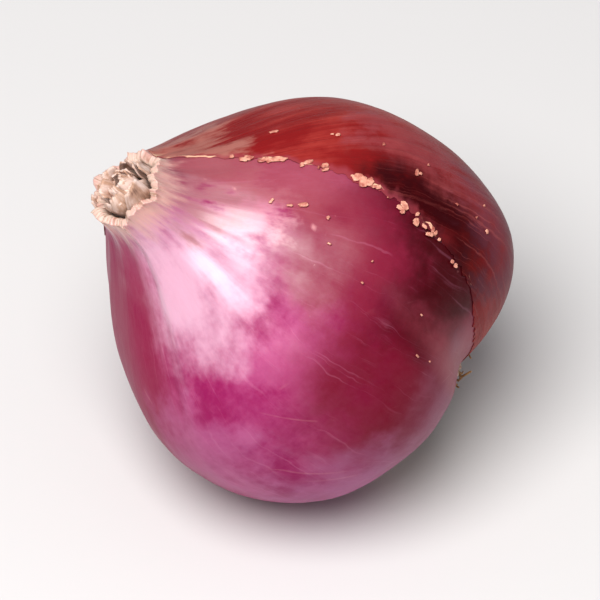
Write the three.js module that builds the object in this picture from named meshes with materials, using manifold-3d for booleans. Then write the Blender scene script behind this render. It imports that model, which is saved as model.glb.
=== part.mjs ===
// A pink shallot resting on its flank: one squat, shouldered bulb whose neck leans up and to one side.
// The bulb stands for its fleshy scales and the dry skins wrapped round them, which grew as one piece.
// Withered leaf ends stand in its neck, and a basal plate with dried rootlets closes its root end.
// Millimetres, +Z up. The origin is the middle of the flat spot that the bulb rests on.
import * as THREE from "three";
import { ParametricGeometry } from "three/addons/geometries/ParametricGeometry.js";
import { mergeVertices } from "three/addons/utils/BufferGeometryUtils.js";
import Module from "manifold-3d";

const wasm = await Module();
wasm.setup();

const degrees = Math.PI / 180;
const fullTurn = 2 * Math.PI;
const gap = 0.3; // clearance between neighbouring pieces

// The bulb's own frame: +Z runs from the root end to the neck, and its zero is the widest ring.
const bulb = {
  radius: 18.6, // of the widest ring, before its lobes and swellings
  rootSide: 14.7, // widest ring down to the root end
  neckSide: 24.4, // widest ring up to the rim of the neck
  neckRadius: 4,
  rootFullness: 2.27, // 2 is an ellipse, and more is squarer
  neckFullness: 1.36, // how far the shoulder holds out before it falls to the neck
  neckUp: 2, // how far the rim of the neck has drifted to the upper side
  neckAside: -3.3, // and along +Y
  dimpleDepth: 1.9, // hollow round the basal plate
  dimpleRadius: 5,
  around: 84, // facets round the bulb
  along: 40, // rings from root to neck
  rootShare: 0.42, // of those rings, on the root side
};

// How the bulb lies: its neck points up at this angle, and it is sunk to a small flat spot.
const rest = {
  neckRise: 42 * degrees,
  centreAhead: 3.1, // widest ring's centre, along +X from the flat spot's middle
  centreAside: -0.45, // along +Y
  centreHeight: 16.45, // and above the surface
};

const lobes = { two: -0.007, three: 0.017 }; // how far the widest ring is from a circle, as shares

// Swellings of the body, and hollows as negative sizes, at an angle round it and a height on it.
const swellings = [
  { angle: -37 * degrees, height: -12, size: -2.4, reachRound: 17 * degrees, reachUp: 6.4 },
  { angle: -2 * degrees, height: -9.3, size: 2, reachRound: 19 * degrees, reachUp: 10 },
  { angle: -124 * degrees, height: 3, size: 0.7, reachRound: 28 * degrees, reachUp: 9.5 },
];
const folds = { count: 13, bodyDepth: 0.09, neckDepth: 0.25, wander: 0.9 }; // gathered into the neck
const puckers = { count: 9, depth: 0.22, innerRadius: 4, outerRadius: 12 }; // folds round the root end

// The torn dry skin that is left on one side, as angles round the bulb.
const outerSkin = { lift: 0.26, start: -19 * degrees, span: 150 * degrees, softness: 8 * degrees };

const rim = { ragged: 0.45, teeth: 5 }; // the neck's uneven edge

const leaves = {
  count: 9,
  coreRadius: 2.25,
  coreDepth: 3.6, // how far the core reaches down inside the neck
  hollow: 1, // and how far its top stays below the rim
  height: 1.9, // mean height of a leaf end above the rim
  halfWidth: 1.15,
  thickness: 0.74,
};

const roots = {
  plateRadius: 3.4,
  plateTop: -13, // against the bulb's socket
  plateDepth: 1.7,
  plateCrown: 0.45, // how far its middle stands out
  count: 28,
  strand: 0.62, // diameter of one rootlet
  length: 3.7, // mean length
  clearance: 1.3, // rootlets bend up to stay this far above the surface
  sides: 5,
  steps: 4,
};

// Seeded draws, so that each build is the same.
function seededRandom(seed) {
  let state = seed;
  return () => {
    state = (state + 0x6d2b79f5) | 0;
    let mixed = Math.imul(state ^ (state >>> 15), 1 | state);
    mixed = (mixed + Math.imul(mixed ^ (mixed >>> 7), 61 | mixed)) ^ mixed;
    return ((mixed ^ (mixed >>> 14)) >>> 0) / 4294967296;
  };
}

function smoothStep(low, high, value) {
  const share = THREE.MathUtils.clamp((value - low) / (high - low), 0, 1);
  return share * share * (3 - 2 * share);
}

// A closed geometry as a solid that can be joined and cut.
function solidFrom(geometry) {
  const bare = geometry.clone();
  bare.deleteAttribute("normal");
  bare.deleteAttribute("uv");
  const merged = mergeVertices(bare, 1e-4);
  const corners = [];
  for (let i = 0; i < merged.index.count; i += 3) {
    const [a, b, c] = [0, 1, 2].map((k) => merged.index.getX(i + k));
    if (a !== b && b !== c && c !== a) corners.push(a, b, c);
  }
  return new wasm.Manifold(
    new wasm.Mesh({
      numProp: 3,
      vertProperties: merged.getAttribute("position").array,
      triVerts: new Uint32Array(corners),
    }),
  );
}

function meshFrom(solid, name, material) {
  const { numProp, vertProperties, triVerts } = solid.getMesh();
  const positions = new Float32Array((vertProperties.length / numProp) * 3);
  for (let i = 0; i < positions.length / 3; i++)
    positions.set(vertProperties.subarray(i * numProp, i * numProp + 3), i * 3);
  const geometry = new THREE.BufferGeometry();
  geometry.setAttribute("position", new THREE.BufferAttribute(positions, 3));
  geometry.setIndex(new THREE.BufferAttribute(triVerts, 1));
  geometry.computeVertexNormals();
  const mesh = new THREE.Mesh(geometry, material);
  mesh.name = name;
  return mesh;
}

function join(solids) {
  return solids.reduce((whole, solid) => whole.add(solid));
}

// A round bar along Z between two heights.
function barBetween(radius, low, high, sides = 40) {
  const bar = new THREE.CylinderGeometry(radius, radius, high - low, sides);
  bar.rotateX(Math.PI / 2);
  bar.translate(0, 0, (low + high) / 2);
  return bar;
}

// Height and radius on the plain meridian, for t from 0 at the root end to 1 at the rim of the neck.
function meridian(t) {
  if (t < bulb.rootShare) {
    const turn = ((t / bulb.rootShare) * Math.PI) / 2;
    const power = 2 / bulb.rootFullness;
    const radius = bulb.radius * Math.sin(turn) ** power;
    const dimple = bulb.dimpleDepth * Math.exp(-((radius / bulb.dimpleRadius) ** 2));
    return { radius, height: dimple - bulb.rootSide * Math.cos(turn) ** power };
  }
  const rise = (t - bulb.rootShare) / (1 - bulb.rootShare);
  const fall = (1 + Math.cos(Math.PI * rise ** bulb.neckFullness)) / 2;
  return {
    radius: bulb.neckRadius + (bulb.radius - bulb.neckRadius) * fall,
    height: bulb.neckSide * rise,
  };
}

// Where the bulb's middle line has drifted to at this share of the way to the rim, and how far it leans.
function middleLine(rise) {
  return {
    driftUp: bulb.neckUp * rise ** 3,
    driftAside: bulb.neckAside * rise ** 3,
    leanUp: Math.atan((3 * bulb.neckUp * rise ** 2) / bulb.neckSide),
    leanAside: Math.atan((3 * bulb.neckAside * rise ** 2) / bulb.neckSide),
  };
}

// How much of the torn dry skin covers this place: its split edge swings over towards the neck.
function outerCover(angle, height, rise) {
  const splitEdge = outerSkin.start + (height + 30 * rise ** 6) * degrees;
  const past = THREE.MathUtils.euclideanModulo(angle - splitEdge, fullTurn);
  const across =
    smoothStep(0, outerSkin.softness, past) * smoothStep(outerSkin.span, outerSkin.span * 0.7, past);
  return across * smoothStep(-12, -6, height) * smoothStep(0.92, 0.78, rise);
}

function swelling(angle, height) {
  return swellings.reduce((sum, one) => {
    const round = THREE.MathUtils.euclideanModulo(angle - one.angle + Math.PI, fullTurn) - Math.PI;
    const up = height - one.height;
    return sum + one.size * Math.exp(-((round / one.reachRound) ** 2) - (up / one.reachUp) ** 2);
  }, 0);
}

// What stands out from the plain form: lobes, swellings, folds, puckers and the torn dry skin.
function relief(angle, height, radius) {
  const rise = Math.max(0, height) / bulb.neckSide;
  const outOfRound = lobes.two * Math.cos(2 * angle + 0.7) + lobes.three * Math.cos(3 * angle - 0.8);
  const foldDepth = folds.bodyDepth + (folds.neckDepth - folds.bodyDepth) * smoothStep(0.4, 0.85, rise);
  const fold = Math.cos(folds.count * angle + folds.wander * Math.sin(2 * angle + 1));
  const nearRoot =
    smoothStep(puckers.outerRadius, puckers.outerRadius / 2, radius) *
    smoothStep(0, puckers.innerRadius, radius) *
    (height < 0 ? 1 : 0);
  const pucker = puckers.depth * Math.cos(puckers.count * angle + 0.4) * nearRoot;
  return (
    (radius * outOfRound + swelling(angle, height) + foldDepth * fold) *
      smoothStep(0, 9, radius + bulb.radius * rise) +
    pucker +
    outerSkin.lift * outerCover(angle, height, rise)
  );
}

// The last step runs in to the middle of the neck, so the skin closes on itself.
function makeBulb() {
  const rows = bulb.along + 1;
  const skinPoint = (across, v, target) => {
    const angle = across * fullTurn;
    const t = (v * rows) / bulb.along;
    const { radius, height } = meridian(Math.min(t, 1));
    const rise = Math.max(0, height) / bulb.neckSide;
    const atPole = t === 0 || t > 1.001;
    const out = atPole ? 0 : radius + relief(angle, height, radius);
    const ragged = atPole ? 0 : rim.ragged * Math.cos(rim.teeth * angle + 0.6) * smoothStep(0.92, 1, rise);
    const { driftUp, driftAside, leanUp, leanAside } = middleLine(rise);
    const x = out * Math.cos(angle);
    const y = out * Math.sin(angle);
    target.set(
      driftUp + x * Math.cos(leanUp),
      driftAside + y * Math.cos(leanAside),
      height + ragged - x * Math.sin(leanUp) - y * Math.sin(leanAside),
    );
  };
  return solidFrom(new ParametricGeometry(skinPoint, bulb.around, rows));
}

// Moves a piece that was built with the rim at zero to the rim of the leaning neck.
function toNeck(geometry) {
  const { driftUp, driftAside, leanUp, leanAside } = middleLine(1);
  geometry.rotateX(-leanAside);
  geometry.rotateY(leanUp);
  geometry.translate(driftUp, driftAside, bulb.neckSide);
  return geometry;
}

// One withered leaf end: a thin arched blade that stands on the core and curls out above the rim.
function leafBlade(angle, halfWidth, height, flare, twist) {
  const low = -leaves.coreDepth * 0.8;
  const bladePoint = (across, v, target) => {
    const turn = -across * fullTurn;
    const open = v === 0 || v === 1 ? 0 : Math.sin(Math.PI * (0.1 + 0.84 * v)) ** 0.35;
    const side = Math.cos(turn) * halfWidth * open;
    const through = v === 0 || v === 1 ? 0 : (Math.sin(turn) * leaves.thickness) / 2;
    const up = low + (height - low) * v;
    const above = Math.max(0, up - 0.6);
    const radius = leaves.coreRadius - 0.45 + flare * above ** 1.5 + through;
    const around = angle + side / leaves.coreRadius + twist * above;
    target.set(radius * Math.cos(around), radius * Math.sin(around), up);
  };
  return new ParametricGeometry(bladePoint, 12, 8);
}

function makeNeckLeaves() {
  const random = seededRandom(11);
  const core = barBetween(leaves.coreRadius, -leaves.coreDepth, -leaves.hollow, 24);
  const solids = [solidFrom(toNeck(core))];
  for (let i = 0; i < leaves.count; i++) {
    const angle = ((i + 0.4 * random()) / leaves.count) * fullTurn;
    const halfWidth = leaves.halfWidth * (0.75 + 0.5 * random());
    const height = leaves.height * (0.65 + 0.75 * random());
    const flare = 0.05 + 0.6 * random();
    const twist = 0.3 * (random() - 0.5);
    solids.push(solidFrom(toNeck(leafBlade(angle, halfWidth, height, flare, twist))));
  }
  return join(solids);
}

// Height above the surface of a place in the bulb's own frame.
function heightAbove(x, z) {
  return rest.centreHeight + x * Math.cos(rest.neckRise) + z * Math.sin(rest.neckRise);
}

// One rootlet, from inside the plate out and away, bent up where it would touch the surface.
function rootlet(angle, start, length, spread, sway) {
  const low = roots.plateTop - roots.plateDepth;
  const at = (out, side, z) => {
    const x = out * Math.cos(angle) - side * Math.sin(angle);
    const y = out * Math.sin(angle) + side * Math.cos(angle);
    const lift = Math.max(0, roots.clearance - heightAbove(x, z));
    return new THREE.Vector3(x + lift * Math.cos(rest.neckRise), y, z + lift * Math.sin(rest.neckRise));
  };
  const path = new THREE.CatmullRomCurve3([
    at(start, 0, low + 1),
    at(start + 0.1 * spread, 0, low - 0.2 * length),
    at(start + 0.55 * spread, sway * 0.4, low - 0.62 * length),
    at(start + spread, sway, low - length),
  ]);
  const corners = [];
  for (let i = 0; i < roots.sides; i++) {
    const turn = (i / roots.sides) * fullTurn;
    corners.push(new THREE.Vector2(Math.cos(turn), Math.sin(turn)).multiplyScalar(roots.strand / 2));
  }
  return new THREE.ExtrudeGeometry(new THREE.Shape(corners), { steps: roots.steps, extrudePath: path });
}

function makePlate() {
  const low = roots.plateTop - roots.plateDepth;
  const face = new THREE.SplineCurve([
    new THREE.Vector2(0, low - roots.plateCrown),
    new THREE.Vector2(roots.plateRadius * 0.6, low - roots.plateCrown * 0.6),
    new THREE.Vector2(roots.plateRadius * 0.95, low + roots.plateDepth * 0.2),
    new THREE.Vector2(roots.plateRadius, low + roots.plateDepth * 0.5),
  ]);
  const profile = [
    ...face.getPoints(6),
    new THREE.Vector2(roots.plateRadius, roots.plateTop),
    new THREE.Vector2(0, roots.plateTop),
  ];
  return new THREE.LatheGeometry(profile, 28).rotateX(Math.PI / 2);
}

function makeRootTuft() {
  const random = seededRandom(5);
  const goldenAngle = Math.PI * (3 - Math.sqrt(5));
  const solids = [solidFrom(makePlate())];
  for (let i = 0; i < roots.count; i++) {
    const share = Math.sqrt((i + 0.5) / roots.count);
    const start = share * (roots.plateRadius - roots.strand);
    const length = roots.length * (0.6 + 0.7 * random());
    const spread = share * (0.6 + 2 * random());
    const sway = 2.4 * (random() - 0.5);
    solids.push(solidFrom(rootlet(i * goldenAngle, start, length, spread, sway)));
  }
  return join(solids);
}

// The shallot in its own frame, laid down by one group.
const lying = new THREE.Group();
lying.rotation.y = rest.neckRise - Math.PI / 2;
lying.position.set(rest.centreAhead, rest.centreAside, rest.centreHeight);
lying.updateMatrix();

// What the surface takes off, seen from the bulb's own frame.
const slab = new THREE.BoxGeometry(120, 120, 40);
slab.translate(0, 0, -20);
slab.applyMatrix4(lying.matrix.clone().invert());

const neckSocket = toNeck(barBetween(leaves.coreRadius + gap, -leaves.coreDepth - gap, 10));
const rootSocket = barBetween(roots.plateRadius + gap, -bulb.rootSide - 10, roots.plateTop + gap);

const body = makeBulb()
  .subtract(solidFrom(neckSocket))
  .subtract(solidFrom(rootSocket))
  .subtract(solidFrom(slab));

const skinPink = new THREE.MeshStandardMaterial({ color: "#a8406a", roughness: 0.38, metalness: 0 });
const leafCream = new THREE.MeshStandardMaterial({ color: "#cdb592", roughness: 0.8, metalness: 0 });
const rootTan = new THREE.MeshStandardMaterial({ color: "#a9845a", roughness: 0.85, metalness: 0 });

lying.add(
  meshFrom(body, "bulb", skinPink),
  meshFrom(makeNeckLeaves(), "neck_leaves", leafCream),
  meshFrom(makeRootTuft(), "root_tuft", rootTan),
);

const shallot = new THREE.Group();
shallot.add(lying);

export default shallot;
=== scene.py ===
import math
import bpy
from mathutils import Matrix, Vector


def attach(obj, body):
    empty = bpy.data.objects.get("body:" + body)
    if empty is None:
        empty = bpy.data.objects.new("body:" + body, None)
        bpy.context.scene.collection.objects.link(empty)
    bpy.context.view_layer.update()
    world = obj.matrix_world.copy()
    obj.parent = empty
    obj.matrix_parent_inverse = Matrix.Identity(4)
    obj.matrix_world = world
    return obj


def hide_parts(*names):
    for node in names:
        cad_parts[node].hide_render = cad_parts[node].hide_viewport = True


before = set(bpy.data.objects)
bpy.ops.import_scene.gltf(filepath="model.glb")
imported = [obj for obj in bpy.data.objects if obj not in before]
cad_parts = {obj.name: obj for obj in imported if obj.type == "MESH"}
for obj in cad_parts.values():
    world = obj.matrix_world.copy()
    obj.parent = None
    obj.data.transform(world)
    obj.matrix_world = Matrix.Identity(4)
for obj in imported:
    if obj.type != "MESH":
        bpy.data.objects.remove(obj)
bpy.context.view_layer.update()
print("frame loaded:", sorted(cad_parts))

mm = 0.001  # lengths in the dictionaries of the pieces are millimetres
fullTurn = 2 * math.pi


def arithmetic(operation, swapped=False):
    def apply(self, other):
        values = (other, self) if swapped else (self, other)
        return self.graph.maths(operation, *values)

    return apply


# An output socket of a node, which takes part in plain arithmetic.
class Wire:
    def __init__(self, graph, socket):
        self.graph = graph
        self.socket = socket

    def also(self, name):  # another output of the same node
        return Wire(self.graph, self.socket.node.outputs[name])

    __add__ = arithmetic("ADD")
    __radd__ = arithmetic("ADD", swapped=True)
    __sub__ = arithmetic("SUBTRACT")
    __rsub__ = arithmetic("SUBTRACT", swapped=True)
    __mul__ = arithmetic("MULTIPLY")
    __rmul__ = arithmetic("MULTIPLY", swapped=True)
    __truediv__ = arithmetic("DIVIDE")
    __rtruediv__ = arithmetic("DIVIDE", swapped=True)
    __pow__ = arithmetic("POWER")


# A colour code as the linear values that Blender takes.
def tone(code):
    channels = [int(code[i : i + 2], 16) / 255 for i in (1, 3, 5)]
    return tuple(c / 12.92 if c <= 0.04045 else ((c + 0.055) / 1.055) ** 2.4 for c in channels) + (1.0,)


# A node tree, shader or geometry, and the ways that nodes are added to it.
class Graph:
    def __init__(self, tree):
        self.tree = tree

    def add(self, kind, settings, sockets, out=0):
        made = self.tree.nodes.new(kind)
        for name, value in settings.items():
            setattr(made, name, value)
        for name, value in sockets.items():
            if isinstance(value, Wire):
                self.tree.links.new(value.socket, made.inputs[name])
            else:
                made.inputs[name].default_value = value
        return Wire(self, made.outputs[out]) if made.outputs else None

    def maths(self, operation, *values):
        return self.add("ShaderNodeMath", {"operation": operation}, dict(enumerate(values)))

    def sine(self, value):
        return self.maths("SINE", value)

    def cosine(self, value):
        return self.maths("COSINE", value)

    def atLeast(self, value, limit):
        return self.maths("MAXIMUM", value, limit)

    def clamp(self, value):
        return self.add("ShaderNodeClamp", {}, {"Value": value})

    # 0 below low and 1 above high, or the other way round if low is the higher one.
    def smooth(self, low, high, value):
        return self.add(
            "ShaderNodeMapRange",
            {"interpolation_type": "SMOOTHSTEP"},
            {"Value": value, "From Min": low, "From Max": high},
        )

    def vector(self, x, y, z):
        return self.add("ShaderNodeCombineXYZ", {}, {"X": x, "Y": y, "Z": z})

    def split(self, vector):
        parts = self.add("ShaderNodeSeparateXYZ", {}, {"Vector": vector})
        return parts, parts.also("Y"), parts.also("Z")

    def vectorMaths(self, operation, first, second, out=0):
        return self.add("ShaderNodeVectorMath", {"operation": operation}, {0: first, 1: second}, out)

    def noise(self, place, scale=1.0, detail=2.0, roughness=0.5):
        sockets = {"Vector": place, "Scale": scale, "Detail": detail, "Roughness": roughness}
        return self.add("ShaderNodeTexNoise", {}, sockets)

    # Two colours, each a code or a node's output, mixed by the share of the second.
    def mix(self, share, first, second):
        first, second = (tone(one) if isinstance(one, str) else one for one in (first, second))
        return self.add("ShaderNodeMix", {"data_type": "RGBA"}, {0: share, 6: first, 7: second}, out=2)

    def objectPlace(self):
        return self.add("ShaderNodeTexCoord", {}, {}, "Object")

    def gridShares(self):  # how far across and along its grid a place lies
        return self.split(self.add("ShaderNodeUVMap", {"uv_map": "UVMap"}, {}))[:2]

    def kept(self, name):  # an attribute that a tree stored on its mesh
        return self.add("ShaderNodeAttribute", {"attribute_name": name}, {}, "Fac")


# A geometry tree whose sizes are named inputs.
def startTree(name, sizes):
    tree = bpy.data.node_groups.new(name, "GeometryNodeTree")
    for label, value in sizes.items():
        kind = "NodeSocketInt" if isinstance(value, int) else "NodeSocketFloat"
        tree.interface.new_socket(label, in_out="INPUT", socket_type=kind)
    tree.interface.new_socket("Geometry", in_out="OUTPUT", socket_type="NodeSocketGeometry")
    graph = Graph(tree)
    entry = tree.nodes.new("NodeGroupInput")
    return graph, {label: Wire(graph, entry.outputs[label]) for label in sizes}


def store(graph, geometry, name, value, kind="FLOAT", domain="POINT"):
    return graph.add(
        "GeometryNodeStoreNamedAttribute",
        {"data_type": kind, "domain": domain},
        {"Geometry": geometry, "Name": name, "Value": value},
    )


def recall(graph, name):
    return graph.add("GeometryNodeInputNamedAttribute", {"data_type": "FLOAT"}, {"Name": name})


def addObject(name, data):
    made = bpy.data.objects.new(name, data)
    bpy.context.collection.objects.link(made)
    return made


# Ends a tree, and grows a piece by it: a plain mesh, with a thickness in mm if it is a sheet.
def runTree(name, graph, sizes, geometry, material, thickness=0.0):
    real = graph.add("GeometryNodeRealizeInstances", {}, {"Geometry": geometry})
    dressed = graph.add("GeometryNodeSetMaterial", {}, {"Geometry": real, "Material": material})
    graph.add("NodeGroupOutput", {}, {"Geometry": dressed})
    holder = addObject(name, bpy.data.meshes.new(name + "Start"))
    modifier = holder.modifiers.new("grow", "NODES")
    modifier.node_group = graph.tree
    for item in graph.tree.interface.items_tree:
        if item.in_out == "INPUT":
            modifier[item.identifier] = sizes[item.name]
    if thickness:
        solid = holder.modifiers.new("thickness", "SOLIDIFY")
        solid.thickness = thickness * mm
        solid.offset = 1
        solid.use_even_offset = False
    depsgraph = bpy.context.evaluated_depsgraph_get()
    grown = holder.evaluated_get(depsgraph)
    mesh = bpy.data.meshes.new_from_object(grown, preserve_all_data_layers=True, depsgraph=depsgraph)
    mesh.name = name
    mesh.polygons.foreach_set("use_smooth", [True] * len(mesh.polygons))
    holder.modifiers.clear()
    holder.data = mesh
    print(name, "grown:", len(mesh.polygons), "faces")
    return holder


def placePiece(piece, slot, *nodes):
    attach(piece, "root")
    if nodes:
        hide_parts(*nodes)


# How the bulb lies. In its own frame the third axis runs from the root end to the neck.
lying = {"neckRise": math.radians(42), "centreX": 3.1, "centreY": -0.45, "centreZ": 16.45}
bulbAxes = Matrix(
    (
        (math.sin(lying["neckRise"]), 0, -math.cos(lying["neckRise"])),
        (0, 1, 0),
        (math.cos(lying["neckRise"]), 0, math.sin(lying["neckRise"])),
    )
)
bulbCentre = Vector((lying["centreX"], lying["centreY"], lying["centreZ"]))

# The bulb's form, as named inputs of every tree that follows its skin.
bulbForm = {
    "radius": 18.6,
    "rootSide": 14.7,
    "neckSide": 24.4,
    "neckRadius": 4.0,
    "rootFullness": 2.27,
    "neckFullness": 1.36,
    "neckUp": 2.0,
    "neckAside": -3.3,
    "dimpleDepth": 1.9,
    "dimpleRadius": 5.0,
    "lobeTwo": -0.007,
    "lobeThree": 0.017,
    "foldCount": 13,
    "foldBody": 0.07,
    "foldNeck": 0.1,
    "foldWander": 0.9,
    "puckerCount": 9,
    "puckerDepth": 0.22,
    "rimRagged": 0.45,
    "neckWall": 1.0,
    "mouthDepth": 4.2,
    "broadRib": 0.3,
    "fineRib": 0.08,
    "neckWrinkle": 0.3,
    "crease": 0.6,  # a step in the skin, down from the neck
    "creaseStart": -120.0,
    "creaseSlant": 0.7,
    "rimSlant": 1.2,  # how much further the neck's front lip reaches
    "lipAngle": -75.0,
}

# Swellings of the body, and hollows as negative sizes, at an angle round it and a height on it.
swellings = [
    {"angle": -37, "height": -12, "size": -2.4, "reachRound": 17, "reachUp": 6.4},
    {"angle": -2, "height": -9.3, "size": 2.0, "reachRound": 19, "reachUp": 10},
    {"angle": -124, "height": 3, "size": 0.7, "reachRound": 28, "reachUp": 9.5},
]
rootShare = 0.40  # along the skin, where the widest ring is
rimShare = 0.92  # and where the rim of the neck is; from there it turns in and closes
floorSoftness = 0.4  # mm over which the skin eases into its flat spot

# Where the lobes, folds and teeth start round the bulb, in radians.
turns = {"lobeTwo": 0.7, "lobeThree": -0.8, "fold": 1, "pucker": 0.4, "tooth": 0.6}
toothCount = 5
rimTorn = 2.4  # mm by which the neck's rim is torn besides its teeth

# The unevenness of the skin: how fine it is round the bulb and along it.
unevenness = {
    "broadRib": {"around": 3.6, "stretch": 1.4, "seed": 3, "detail": 1.0},
    "fineRib": {"around": 13, "stretch": 2.2, "seed": 11, "detail": 1.0},
    "neckWrinkle": {"around": 9, "stretch": 12, "seed": 21},
    "rootWrinkle": {"around": 14, "stretch": 9, "seed": 31},
    "rim": {"around": 5, "stretch": 0, "seed": 41, "detail": 3.0},
}

# From where to where each feature of the skin comes in, or ends.
skinFades = {
    "folds": (0.4, 0.85),  # shares of the way from the widest ring to the neck's rim
    "neckWrinkles": (0.68, 1.0),
    "rim": (0.86, 1),
    "body": (0, 9),  # mm from the middle line
    "rootPuckers": (12, 6),
    "rootMiddle": (0, 4),
    "poles": (0, 0.3),
    "creaseStart": (-6, 3),  # degrees past the crease
    "creaseEnd": (50, 6),
    "creaseHeight": (3, 12),  # mm above the widest ring
    "wall": (0, 0.3),  # shares of the way inside the neck
    "mouth": (0.15, 0.8),
    "bottom": (0.75, 1),
}


# From the bulb's own frame, in mm, to the frame of the part, in metres.
def bulbToWorld(graph, x, y, z):
    turned = [bulbAxes[row][0] * x + bulbAxes[row][1] * y + bulbAxes[row][2] * z for row in range(3)]
    up = graph.maths("SMOOTH_MAX", turned[2] + bulbCentre[2], 0, floorSoftness)
    placed = graph.vector(turned[0] + bulbCentre[0], turned[1] + bulbCentre[1], up)
    return graph.vectorMaths("MULTIPLY", placed, (mm, mm, mm))


def onRing(graph, radius, angle, height):
    return bulbToWorld(graph, radius * graph.cosine(angle), radius * graph.sine(angle), height)


def ringNoise(graph, theta, along, around, stretch, seed, detail=2.0, roughness=0.5):
    place = graph.vector(graph.cosine(theta) * around, graph.sine(theta) * around, along * stretch + seed)
    return graph.noise(place, 1.0, detail, roughness) - 0.5


# The fades of a dictionary as one function, which takes a fade's name and the value that it reads.
def fading(graph, fades):
    return lambda name, value: graph.smooth(*fades[name], value)


# The sum of patterns, each times its share.
def mixture(patterns, shares):
    total = 0.0
    for name, share in shares.items():
        total = share * patterns[name] + total
    return total


def degreesApart(graph, theta, angle):
    return graph.maths("WRAP", graph.maths("DEGREES", theta) - angle, 180, -180)


def pastCrease(graph, form, theta, height):
    return degreesApart(graph, theta, form["creaseStart"]) - form["creaseSlant"] * height


def swelling(graph, theta, height):
    total = 0.0
    for one in swellings:
        around = degreesApart(graph, theta, one["angle"]) / one["reachRound"]
        up = (height - one["height"]) / one["reachUp"]
        total = one["size"] * graph.maths("EXPONENT", (around * around + up * up) * -1) + total
    return total


# Leans a place in a frame on the bulb's middle line over to where the neck has drifted.
def leanOver(graph, form, rise, x, y, z, height):
    placed = []
    for sideways, name in ((x, "neckUp"), (y, "neckAside")):
        lean = graph.maths("ARCTANGENT", 3 * form[name] * rise**2 / form["neckSide"])
        placed.append(form[name] * rise**3 + sideways * graph.cosine(lean) + z * graph.sine(lean))
        height = height + (graph.cosine(lean) - 1) * z - sideways * graph.sine(lean)
    return bulbToWorld(graph, placed[0], placed[1], height + z)


# How far out and how high the skin stands at a share of the way along, before folds and wrinkles.
def skinProfile(graph, form, along):
    turn = graph.clamp(along / rootShare) * (math.pi / 2)
    power = 2 / form["rootFullness"]
    sideways = graph.sine(turn) ** power
    down = graph.atLeast(graph.cosine(turn), 0) ** power
    rise = graph.clamp((along - rootShare) / (rimShare - rootShare))
    fall = (1 + graph.cosine(math.pi * rise ** form["neckFullness"])) / 2
    onRoot = graph.maths("LESS_THAN", along, rootShare)
    plain = form["radius"] * sideways - (form["radius"] - form["neckRadius"]) * (1 - fall)
    dimple = form["dimpleDepth"] * graph.maths("EXPONENT", (plain / form["dimpleRadius"]) ** 2 * -1) * onRoot
    height = dimple - form["rootSide"] * down + form["neckSide"] * rise
    return plain, height, rise, onRoot


# A place on the skin from its angle and its share of the way along, lifted outwards in mm.
def skinPlace(graph, form, theta, along, lift):
    fade = fading(graph, skinFades)
    uneven = {name: ringNoise(graph, theta, along, **one) for name, one in unevenness.items()}
    plain, height, rise, onRoot = skinProfile(graph, form, along)
    inside = graph.clamp((along - rimShare) / (1 - rimShare))

    lobes = form["lobeTwo"] * graph.cosine(2 * theta + turns["lobeTwo"])
    lobes = lobes + form["lobeThree"] * graph.cosine(3 * theta + turns["lobeThree"])
    foldDepth = form["foldBody"] + (form["foldNeck"] - form["foldBody"]) * fade("folds", rise)
    foldTurn = form["foldWander"] * graph.sine(2 * theta + turns["fold"])
    folds = foldDepth * graph.cosine(form["foldCount"] * theta + foldTurn)
    nearRoot = fade("rootPuckers", plain) * fade("rootMiddle", plain) * onRoot
    pucker = form["puckerDepth"] * graph.cosine(form["puckerCount"] * theta + turns["pucker"]) * nearRoot
    ribs = form["broadRib"] * uneven["broadRib"] + form["fineRib"] * uneven["fineRib"]
    wrinkled = uneven["neckWrinkle"] * fade("neckWrinkles", rise) + uneven["rootWrinkle"] * nearRoot
    wrinkles = form["neckWrinkle"] * wrinkled
    past = pastCrease(graph, form, theta, height)
    onCrease = fade("creaseStart", past) * fade("creaseEnd", past) * fade("creaseHeight", height)
    shape = plain * lobes + swelling(graph, theta, height) + folds + ribs + wrinkles
    shape = shape + form["crease"] * onCrease

    outward = plain + shape * fade("body", plain + form["radius"] * rise) + pucker + lift
    wall = form["neckWall"] * fade("wall", inside)
    outward = (outward - wall) * (1 - fade("bottom", inside)) * fade("poles", plain)

    teeth = form["rimRagged"] * graph.cosine(toothCount * theta + turns["tooth"]) + rimTorn * uneven["rim"]
    mouth = fade("mouth", inside)
    slant = form["rimSlant"] * graph.cosine(theta - graph.maths("RADIANS", form["lipAngle"]))
    height = height + (teeth + slant) * fade("rim", rise) * (1 - mouth) - form["mouthDepth"] * mouth
    x, y = outward * graph.cosine(theta), outward * graph.sine(theta)
    return leanOver(graph, form, rise, x, y, 0.0, height)


# From a frame that has its zero at the middle of the neck's rim.
def neckToWorld(graph, form, x, y, z):
    return leanOver(graph, form, graph.clamp(1.0), x, y, z, form["neckSide"])


# The outer skin: a thin dry sheet over the top and back, torn along one side.
sheetForm = {
    "around": 120,
    "rows": 250,
    "low": 0.075,
    "high": 0.9,
    "tornStart": -19.0,
    "tornSwing": 37.0,
    "span": 150.0,
    "tatter": 10.0,
    "fineTatter": 6.0,
    "endTatter": 0.05,  # a share of the way along
    "gather": 1.8,  # how much closer the grid's columns stand at the torn edge
    "lift": 0.03,
    "curl": 0.16,
    "curlWidth": 0.03,
    "wave": 0.07,
}
sheetThickness = 0.06
tatterNoise = {"scale": 9, "seed": 3}
fineTatterNoise = {"scale": 60, "seed": 7, "detail": 4.0}
curlNoise = {"scale": 22, "seed": 15}
endNoise = {"around": 6, "stretch": 0, "seed": 51, "detail": 3.0}
waveNoise = {"around": 3, "stretch": 5, "seed": 61}
curled = (0.02, 0.25)  # where the curl's noise lets the edge stand off, from nowhere to fully
nearEnd = (0.35, 0.5)  # how far from the middle row the tatter of the ends comes in


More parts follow.
